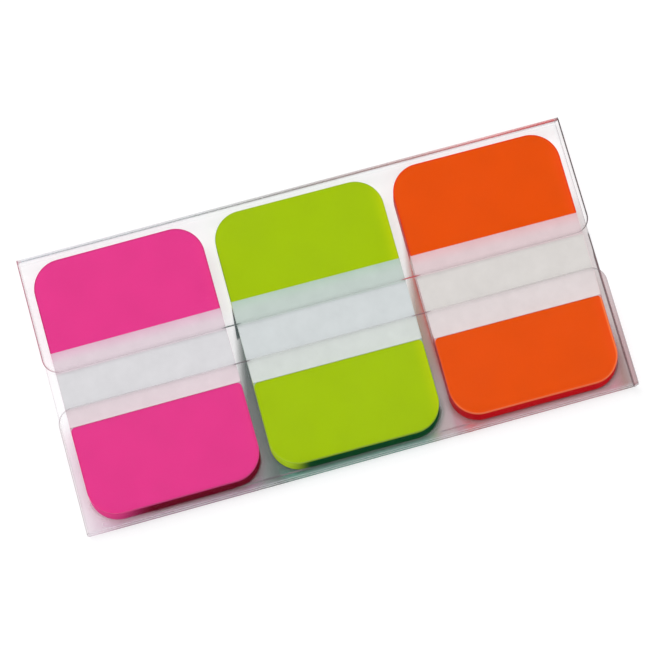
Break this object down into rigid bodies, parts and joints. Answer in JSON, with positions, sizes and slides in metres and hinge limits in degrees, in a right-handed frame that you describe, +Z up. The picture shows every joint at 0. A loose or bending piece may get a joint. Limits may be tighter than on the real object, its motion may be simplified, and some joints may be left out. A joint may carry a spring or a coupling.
{
  "type": "sticky index tabs",
  "caption": "Flat clear film holder with a dispensing slot between its front flaps, holding side-by-side stacks of coloured sticky index tabs.",
  "frame": {"origin": "middle of the holder's back panel, on its outer face, which is the face that it lies on", "axes": "+X along the row of stacks from pink to orange, +Y towards the top fold, +Z up out of the slot"},
  "size_m": [0.0822, 0.0414, 0.0032],
  "materials": {
    "clear_film": "clear glossy film",
    "pink_tab_film": "semi-gloss printed film, clear at its sticky end",
    "lime_tab_film": "semi-gloss printed film, clear at its sticky end",
    "orange_tab_film": "semi-gloss printed film, clear at its sticky end"
  },
  "bodies": {
    "root": {"holder": "clear_film", "pink_tab_01": "pink_tab_film", "pink_tab_02": "pink_tab_film", "pink_tab_03": "pink_tab_film", "pink_tab_04": "pink_tab_film", "pink_tab_05": "pink_tab_film", "pink_tab_06": "pink_tab_film", "pink_tab_07": "pink_tab_film", "pink_tab_08": "pink_tab_film", "pink_tab_09": "pink_tab_film", "pink_tab_10": "pink_tab_film", "pink_tab_11": "pink_tab_film", "pink_tab_12": "pink_tab_film", "lime_tab_01": "lime_tab_film", "lime_tab_02": "lime_tab_film", "lime_tab_03": "lime_tab_film", "lime_tab_04": "lime_tab_film", "lime_tab_05": "lime_tab_film", "lime_tab_06": "lime_tab_film", "lime_tab_07": "lime_tab_film", "lime_tab_08": "lime_tab_film", "lime_tab_09": "lime_tab_film", "lime_tab_10": "lime_tab_film", "lime_tab_11": "lime_tab_film", "lime_tab_12": "lime_tab_film", "orange_tab_01": "orange_tab_film", "orange_tab_02": "orange_tab_film", "orange_tab_03": "orange_tab_film", "orange_tab_04": "orange_tab_film", "orange_tab_05": "orange_tab_film", "orange_tab_06": "orange_tab_film", "orange_tab_07": "orange_tab_film", "orange_tab_08": "orange_tab_film", "orange_tab_09": "orange_tab_film", "orange_tab_10": "orange_tab_film", "orange_tab_11": "orange_tab_film", "orange_tab_12": "orange_tab_film"}
  },
  "joints": []
}
